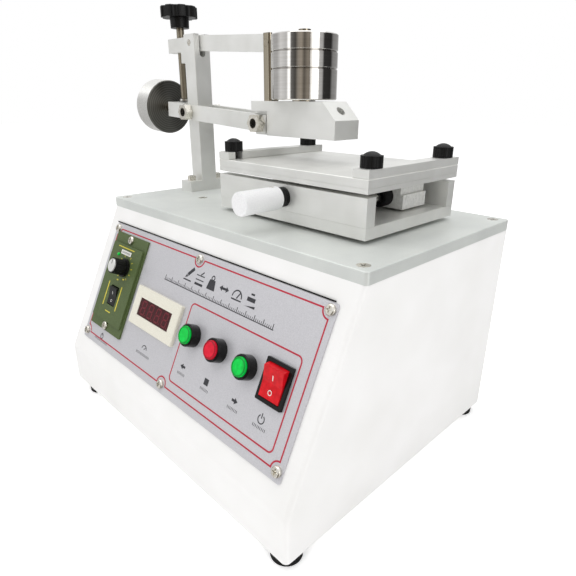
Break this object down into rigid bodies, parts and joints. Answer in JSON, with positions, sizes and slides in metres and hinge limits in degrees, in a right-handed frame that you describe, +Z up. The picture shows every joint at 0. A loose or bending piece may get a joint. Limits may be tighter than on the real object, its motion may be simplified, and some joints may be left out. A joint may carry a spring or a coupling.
{
  "type": "pencil hardness tester",
  "caption": "Bench film scratch tester: sloping cabinet with controls, motor slide with sample table, weighted pencil head on a parallelogram arm with counterweight.",
  "frame": {"origin": "on the bench, below the centre of the box that holds the whole tester", "axes": "+X to the operator's right, +Y to the back, +Z up"},
  "size_m": [0.406, 0.267, 0.3793],
  "materials": {
    "powder_coat_white": "satin powder coat",
    "plate_grey": "fine matt hammered grey",
    "panel_silver": "matt printed sheet",
    "anodised_aluminium": "satin anodised",
    "turned_aluminium": "fine milled",
    "polished_steel": "turned and polished",
    "zinc_steel": "bright zinc",
    "black_rubber": "matt",
    "black_plastic": "fine matt",
    "white_nylon": "satin",
    "olive_plastic": "satin",
    "ivory_plastic": "satin",
    "meter_glass": "dark clear",
    "green_button": "gloss",
    "red_button": "gloss",
    "red_rocker": "clear gloss",
    "board_green": "matt",
    "motor_grey": "satin"
  },
  "bodies": {
    "base": {"cabinet_shell": "powder_coat_white", "bottom_cover": "powder_coat_white", "rubber_feet": "black_rubber", "top_plate": "plate_grey", "top_plate_screws": "zinc_steel", "control_panel": "panel_silver", "panel_screws": "zinc_steel", "controller_housing": "olive_plastic", "meter_housing": "ivory_plastic", "meter_window": "meter_glass", "button_bezels": "black_plastic", "power_switch_frame": "black_plastic", "mains_inlet": "black_plastic", "guide_supports": "anodised_aluminium", "drive_guide_rods": "polished_steel", "drive_motor": "motor_grey", "electronics": "board_green", "column_base": "anodised_aluminium", "column": "anodised_aluminium", "column_screws": "zinc_steel", "lift_bracket": "anodised_aluminium", "column_pivots": "zinc_steel"},
    "speed_knob": {"speed_knob": "black_plastic"},
    "run_rocker": {"run_rocker": "black_plastic"},
    "left_button": {"left_button": "green_button"},
    "stop_button": {"stop_button": "red_button"},
    "right_button": {"right_button": "green_button"},
    "power_rocker": {"power_rocker": "red_rocker"},
    "drive_screw": {"drive_screw": "polished_steel"},
    "carriage": {"drive_block": "anodised_aluminium", "slide_base": "anodised_aluminium", "table_guide_rods": "polished_steel"},
    "table_screw": {"table_screw": "polished_steel", "hand_knob": "white_nylon"},
    "table": {"sample_table": "anodised_aluminium", "bearing_blocks": "turned_aluminium", "table_nut": "turned_aluminium"},
    "clamp_left": {"clamp_bar_left": "anodised_aluminium"},
    "clamp_right": {"clamp_bar_right": "anodised_aluminium"},
    "thumb_front_left": {"thumb_screw_front_left": "black_plastic"},
    "thumb_back_left": {"thumb_screw_back_left": "black_plastic"},
    "thumb_front_right": {"thumb_screw_front_right": "black_plastic"},
    "thumb_back_right": {"thumb_screw_back_right": "black_plastic"},
    "lift_pad": {"lift_pad": "polished_steel"},
    "lift_screw": {"lift_screw": "polished_steel", "star_knob": "black_plastic"},
    "lower_arms": {"lower_arms": "anodised_aluminium", "arm_end_block": "anodised_aluminium", "counterweight_rod": "polished_steel"},
    "counterweight_nut": {"counterweight_nut": "polished_steel"},
    "counterweight": {"counterweight": "polished_steel"},
    "upper_arm": {"upper_arm": "polished_steel"},
    "head": {"head_block": "anodised_aluminium", "link_post": "polished_steel", "head_pivots": "zinc_steel", "weight_stud": "polished_steel"},
    "weight_bottom": {"weight_bottom": "polished_steel"},
    "weight_middle": {"weight_middle": "polished_steel"},
    "weight_top": {"weight_top": "polished_steel"},
    "pencil_grub_screw": {"pencil_grub_screw": "zinc_steel"}
  },
  "joints": [
    {"name": "carriage_slide", "type": "slide", "parent": "base", "child": "carriage", "axis": [1, 0, 0], "range_m": [-0.03, 0.03]},
    {"name": "drive_screw_turn", "type": "hinge", "parent": "base", "child": "drive_screw", "pos_m": [0.037, 0.0381, 0.158], "axis": [1, 0, 0], "range_deg": [-2701, 2701]},
    {"name": "table_slide", "type": "slide", "parent": "carriage", "child": "table", "axis": [0, 1, 0], "range_m": [-0.03, 0.01]},
    {"name": "table_screw_turn", "type": "hinge", "parent": "carriage", "child": "table_screw", "pos_m": [0.0828, 0, 0.217], "axis": [0, 1, 0], "range_deg": [-1801, 5401]},
    {"name": "clamp_left_lift", "type": "slide", "parent": "table", "child": "clamp_left", "axis": [0, 0, 1], "range_m": [0, 0.003]},
    {"name": "clamp_right_lift", "type": "slide", "parent": "table", "child": "clamp_right", "axis": [0, 0, 1], "range_m": [0, 0.003]},
    {"name": "thumb_front_left_turn", "type": "hinge", "parent": "clamp_left", "child": "thumb_front_left", "pos_m": [0.0063, -0.0105, 0.25], "axis": [0, 0, 1], "range_deg": [-1, 1351]},
    {"name": "thumb_back_left_turn", "type": "hinge", "parent": "clamp_left", "child": "thumb_back_left", "pos_m": [0.0063, 0.0855, 0.25], "axis": [0, 0, 1], "range_deg": [-1, 1351]},
    {"name": "thumb_front_right_turn", "type": "hinge", "parent": "clamp_right", "child": "thumb_front_right", "pos_m": [0.1593, -0.0105, 0.25], "axis": [0, 0, 1], "range_deg": [-1, 1351]},
    {"name": "thumb_back_right_turn", "type": "hinge", "parent": "clamp_right", "child": "thumb_back_right", "pos_m": [0.1593, 0.0855, 0.25], "axis": [0, 0, 1], "range_deg": [-1, 1351]},
    {"name": "lift_slide", "type": "slide", "parent": "base", "child": "lift_pad", "axis": [0, 0, 1], "range_m": [-0.004, 0.001]},
    {"name": "lift_screw_turn", "type": "hinge", "parent": "lift_pad", "child": "lift_screw", "pos_m": [-0.13315, 0.032, 0.32], "axis": [0, 0, 1], "range_deg": [-1153, 289]},
    {"name": "lower_arm_pivot", "type": "hinge", "parent": "base", "child": "lower_arms", "pos_m": [-0.1041, 0.032, 0.2764], "axis": [0, 1, 0], "range_deg": [-7.94, 2.02]},
    {"name": "upper_arm_pivot", "type": "hinge", "parent": "base", "child": "upper_arm", "pos_m": [-0.1041, 0.032, 0.3431], "axis": [0, 1, 0], "range_deg": [-7.94, 2.02]},
    {"name": "head_pivot", "type": "hinge", "parent": "lower_arms", "child": "head", "pos_m": [0.01007, 0.032, 0.26922], "axis": [0, 1, 0], "range_deg": [-2.02, 7.94]},
    {"name": "counterweight_slide", "type": "slide", "parent": "lower_arms", "child": "counterweight_nut", "axis": [-0.998, 0, 0.0628], "range_m": [-0.02, 0.006]},
    {"name": "counterweight_spin", "type": "hinge", "parent": "counterweight_nut", "child": "counterweight", "pos_m": [-0.18394, 0.032, 0.28142], "axis": [-0.998, 0, 0.0628], "continuous": true},
    {"name": "weight_bottom_lift", "type": "slide", "parent": "head", "child": "weight_bottom", "axis": [0, 0, 1], "range_m": [0, 0.06]},
    {"name": "weight_middle_lift", "type": "slide", "parent": "weight_bottom", "child": "weight_middle", "axis": [0, 0, 1], "range_m": [0, 0.05]},
    {"name": "weight_top_lift", "type": "slide", "parent": "weight_middle", "child": "weight_top", "axis": [0, 0, 1], "range_m": [0, 0.04]},
    {"name": "pencil_grub_slide", "type": "slide", "parent": "head", "child": "pencil_grub_screw", "axis": [0, 1, 0], "range_m": [0, 0.003]},
    {"name": "left_button_press", "type": "slide", "parent": "base", "child": "left_button", "axis": [0, 0.902, -0.4317], "range_m": [0, 0.0016], "stiffness_N_per_m": 400, "springref_m": -0.001},
    {"name": "stop_button_press", "type": "slide", "parent": "base", "child": "stop_button", "axis": [0, 0.902, -0.4317], "range_m": [0, 0.0016], "stiffness_N_per_m": 400, "springref_m": -0.001},
    {"name": "right_button_press", "type": "slide", "parent": "base", "child": "right_button", "axis": [0, 0.902, -0.4317], "range_m": [0, 0.0016], "stiffness_N_per_m": 400, "springref_m": -0.001},
    {"name": "power_rocker_tilt", "type": "hinge", "parent": "base", "child": "power_rocker", "pos_m": [0.16, -0.10167, 0.11291], "axis": [1, 0, 0], "range_deg": [-20, 0]},
    {"name": "run_rocker_tilt", "type": "hinge", "parent": "base", "child": "run_rocker", "pos_m": [-0.0686, -0.10501, 0.10963], "axis": [1, 0, 0], "range_deg": [-16, 0]},
    {"name": "speed_knob_turn", "type": "hinge", "parent": "base", "child": "speed_knob", "pos_m": [-0.0628, -0.09467, 0.13772], "axis": [0, -0.902, 0.4317], "range_deg": [-150, 120]}
  ],
  "couplings": [
    {"joint": "drive_screw_turn", "follows": "carriage_slide", "rad_per_m": -1570.8},
    {"joint": "table_screw_turn", "follows": "table_slide", "rad_per_m": -3141.6},
    {"joint": "lift_screw_turn", "follows": "lift_slide", "rad_per_m": 5026.5},
    {"joint": "lower_arm_pivot", "follows": "lift_slide", "rad_per_m": 34.423},
    {"joint": "upper_arm_pivot", "follows": "lift_slide", "rad_per_m": 34.423},
    {"joint": "head_pivot", "follows": "lift_slide", "rad_per_m": -34.423},
    {"joint": "thumb_front_left_turn", "follows": "clamp_left_lift", "rad_per_m": 7854},
    {"joint": "thumb_back_left_turn", "follows": "clamp_left_lift", "rad_per_m": 7854},
    {"joint": "thumb_front_right_turn", "follows": "clamp_right_lift", "rad_per_m": 7854},
    {"joint": "thumb_back_right_turn", "follows": "clamp_right_lift", "rad_per_m": 7854}
  ]
}
